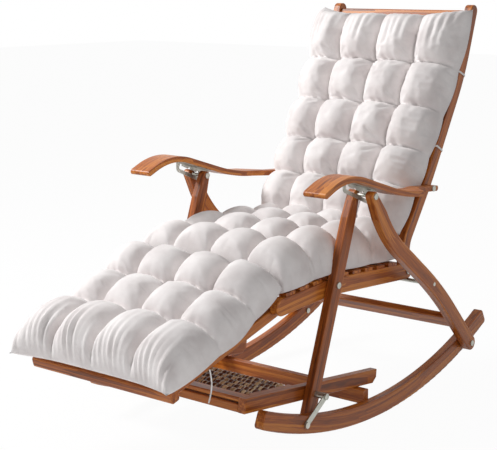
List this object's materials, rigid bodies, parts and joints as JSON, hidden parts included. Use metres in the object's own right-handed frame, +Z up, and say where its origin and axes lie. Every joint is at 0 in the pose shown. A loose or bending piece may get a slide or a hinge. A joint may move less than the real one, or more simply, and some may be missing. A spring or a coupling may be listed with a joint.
{
  "type": "folding rocking chair",
  "caption": "Folding bamboo rocking chair with curved rockers, a reclining slatted back, a pull-out legrest, a beaded roller foot massager and a long tufted pad.",
  "frame": {"origin": "middle of the chair's footprint, on the floor under the rockers", "axes": "+Z up; the chair faces -Y; +X is the sitter's left"},
  "size_m": [0.596, 1.225, 0.978],
  "materials": {
    "bamboo": "satin",
    "beads": "satin",
    "hardware": "satin",
    "pad": "matte",
    "tie": "matte"
  },
  "bodies": {
    "rockers": {"rocker_left": "bamboo", "rocker_right": "bamboo", "rocker_crossbar": "bamboo", "hook_bolts": "hardware", "rear_pivot_bolts": "hardware"},
    "hook_strip_left": {"hook_strip_left": "hardware"},
    "hook_strip_right": {"hook_strip_right": "hardware"},
    "rear_legs": {"rear_leg_left": "bamboo", "rear_leg_right": "bamboo", "rear_leg_crossbar": "bamboo", "seat_rest_rod": "hardware"},
    "top_pins": {"top_pins": "hardware"},
    "front_legs": {"front_leg_left": "bamboo", "front_leg_right": "bamboo", "foot_bolts": "hardware", "foot_spacers": "hardware", "seat_bolts": "hardware"},
    "seat": {"seat_rail_left": "bamboo", "seat_rail_right": "bamboo", "seat_slats": "bamboo", "seat_front_bar": "bamboo", "seat_rear_bar": "bamboo", "cushion_seat": "pad"},
    "back_hinge": {"back_hinge_rod": "hardware", "back_hinge_dowel": "bamboo"},
    "backrest": {"back_rail_left": "bamboo", "back_rail_right": "bamboo", "back_slats": "bamboo", "back_top_bar": "bamboo", "cushion_back": "pad"},
    "armrests": {"armrest_left": "bamboo", "armrest_right": "bamboo", "arm_plate_left": "hardware", "arm_plate_right": "hardware", "plate_screws": "hardware", "arm_pivot_bolts": "hardware"},
    "legrest_guides": {"legrest_guides": "hardware"},
    "legrest": {"legrest_rail_left": "bamboo", "legrest_rail_right": "bamboo", "legrest_front_bar": "bamboo", "legrest_slats": "bamboo", "cushion_legrest": "pad", "pad_tie_left": "tie", "pad_tie_right": "tie"},
    "massager": {"massager_rail_left": "bamboo", "massager_rail_right": "bamboo", "massager_fascia": "bamboo", "massager_plank": "bamboo", "roller_carrier_left": "bamboo", "roller_carrier_right": "bamboo", "roller_axles": "hardware"},
    "roller_1": {"roller_1": "beads"},
    "roller_2": {"roller_2": "beads"},
    "roller_3": {"roller_3": "beads"},
    "roller_4": {"roller_4": "beads"},
    "roller_5": {"roller_5": "beads"}
  },
  "joints": [
    {"name": "fold", "type": "hinge", "parent": "rear_legs", "child": "front_legs", "pos_m": [0, 0.03279, 0.551], "axis": [1, 0, 0], "range_deg": [0, 42], "deforming": ["cushion_seat"]},
    {"name": "rear_leg_fold", "type": "hinge", "parent": "rockers", "child": "rear_legs", "pos_m": [0, 0.49779, 0.10047], "axis": [1, 0, 0], "range_deg": [-29.4, 0]},
    {"name": "seat_fold", "type": "hinge", "parent": "front_legs", "child": "seat", "pos_m": [0, -0.03783, 0.34601], "axis": [1, 0, 0], "range_deg": [0, 29.4]},
    {"name": "back_fold", "type": "hinge", "parent": "seat", "child": "back_hinge", "pos_m": [0, 0.29617, 0.31901], "axis": [1, 0, 0], "range_deg": [-29.4, 0]},
    {"name": "recline", "type": "hinge", "parent": "back_hinge", "child": "backrest", "pos_m": [0, 0.29617, 0.31901], "axis": [-1, 0, 0], "range_deg": [-9, 18]},
    {"name": "arm_fold", "type": "hinge", "parent": "front_legs", "child": "top_pins", "pos_m": [0, 0.03279, 0.551], "axis": [1, 0, 0], "range_deg": [0, 29.4]},
    {"name": "arm_slide", "type": "slide", "parent": "top_pins", "child": "armrests", "axis": [0, 0.9272, -0.3746], "range_m": [-0.0337, 0.0674]},
    {"name": "legrest_tilt", "type": "hinge", "parent": "seat", "child": "legrest_guides", "pos_m": [0, -0.18721, 0.331], "axis": [-1, 0, 0], "range_deg": [0, 16.5]},
    {"name": "legrest_slide", "type": "slide", "parent": "legrest_guides", "child": "legrest", "axis": [0, 0.9588, 0.284], "range_m": [0, 0.3], "deforming": ["cushion_legrest", "pad_tie_left", "pad_tie_right"]},
    {"name": "massager_fold", "type": "hinge", "parent": "front_legs", "child": "massager", "pos_m": [0, -0.12121, 0.104], "axis": [1, 0, 0], "range_deg": [0, 50.4]},
    {"name": "hook_left", "type": "hinge", "parent": "rockers", "child": "hook_strip_left", "pos_m": [0, -0.19321, 0.05479], "axis": [1, 0, 0], "range_deg": [0, 60]},
    {"name": "hook_right", "type": "hinge", "parent": "rockers", "child": "hook_strip_right", "pos_m": [0, -0.19321, 0.05479], "axis": [1, 0, 0], "range_deg": [0, 60]},
    {"name": "roller_1_spin", "type": "hinge", "parent": "massager", "child": "roller_1", "pos_m": [0, -0.28679, 0.12656], "axis": [1, 0, 0], "continuous": true},
    {"name": "roller_2_spin", "type": "hinge", "parent": "massager", "child": "roller_2", "pos_m": [0, -0.25743, 0.12363], "axis": [1, 0, 0], "continuous": true},
    {"name": "roller_3_spin", "type": "hinge", "parent": "massager", "child": "roller_3", "pos_m": [0, -0.22808, 0.1207], "axis": [1, 0, 0], "continuous": true},
    {"name": "roller_4_spin", "type": "hinge", "parent": "massager", "child": "roller_4", "pos_m": [0, -0.19873, 0.11777], "axis": [1, 0, 0], "continuous": true},
    {"name": "roller_5_spin", "type": "hinge", "parent": "massager", "child": "roller_5", "pos_m": [0, -0.16937, 0.11484], "axis": [1, 0, 0], "continuous": true}
  ],
  "couplings": [
    {"joint": "rear_leg_fold", "follows": "fold", "ratio": -0.7},
    {"joint": "seat_fold", "follows": "fold", "ratio": 0.7},
    {"joint": "back_fold", "follows": "fold", "ratio": -0.7},
    {"joint": "arm_fold", "follows": "fold", "ratio": 0.7},
    {"joint": "massager_fold", "follows": "fold", "ratio": 1.2},
    {"joint": "arm_slide", "follows": "recline", "m_per_rad": 0.21454},
    {"joint": "legrest_tilt", "follows": "legrest_slide", "rad_per_m": 0.95993},
    {"joint": "hook_right", "follows": "hook_left", "ratio": 1}
  ]
}
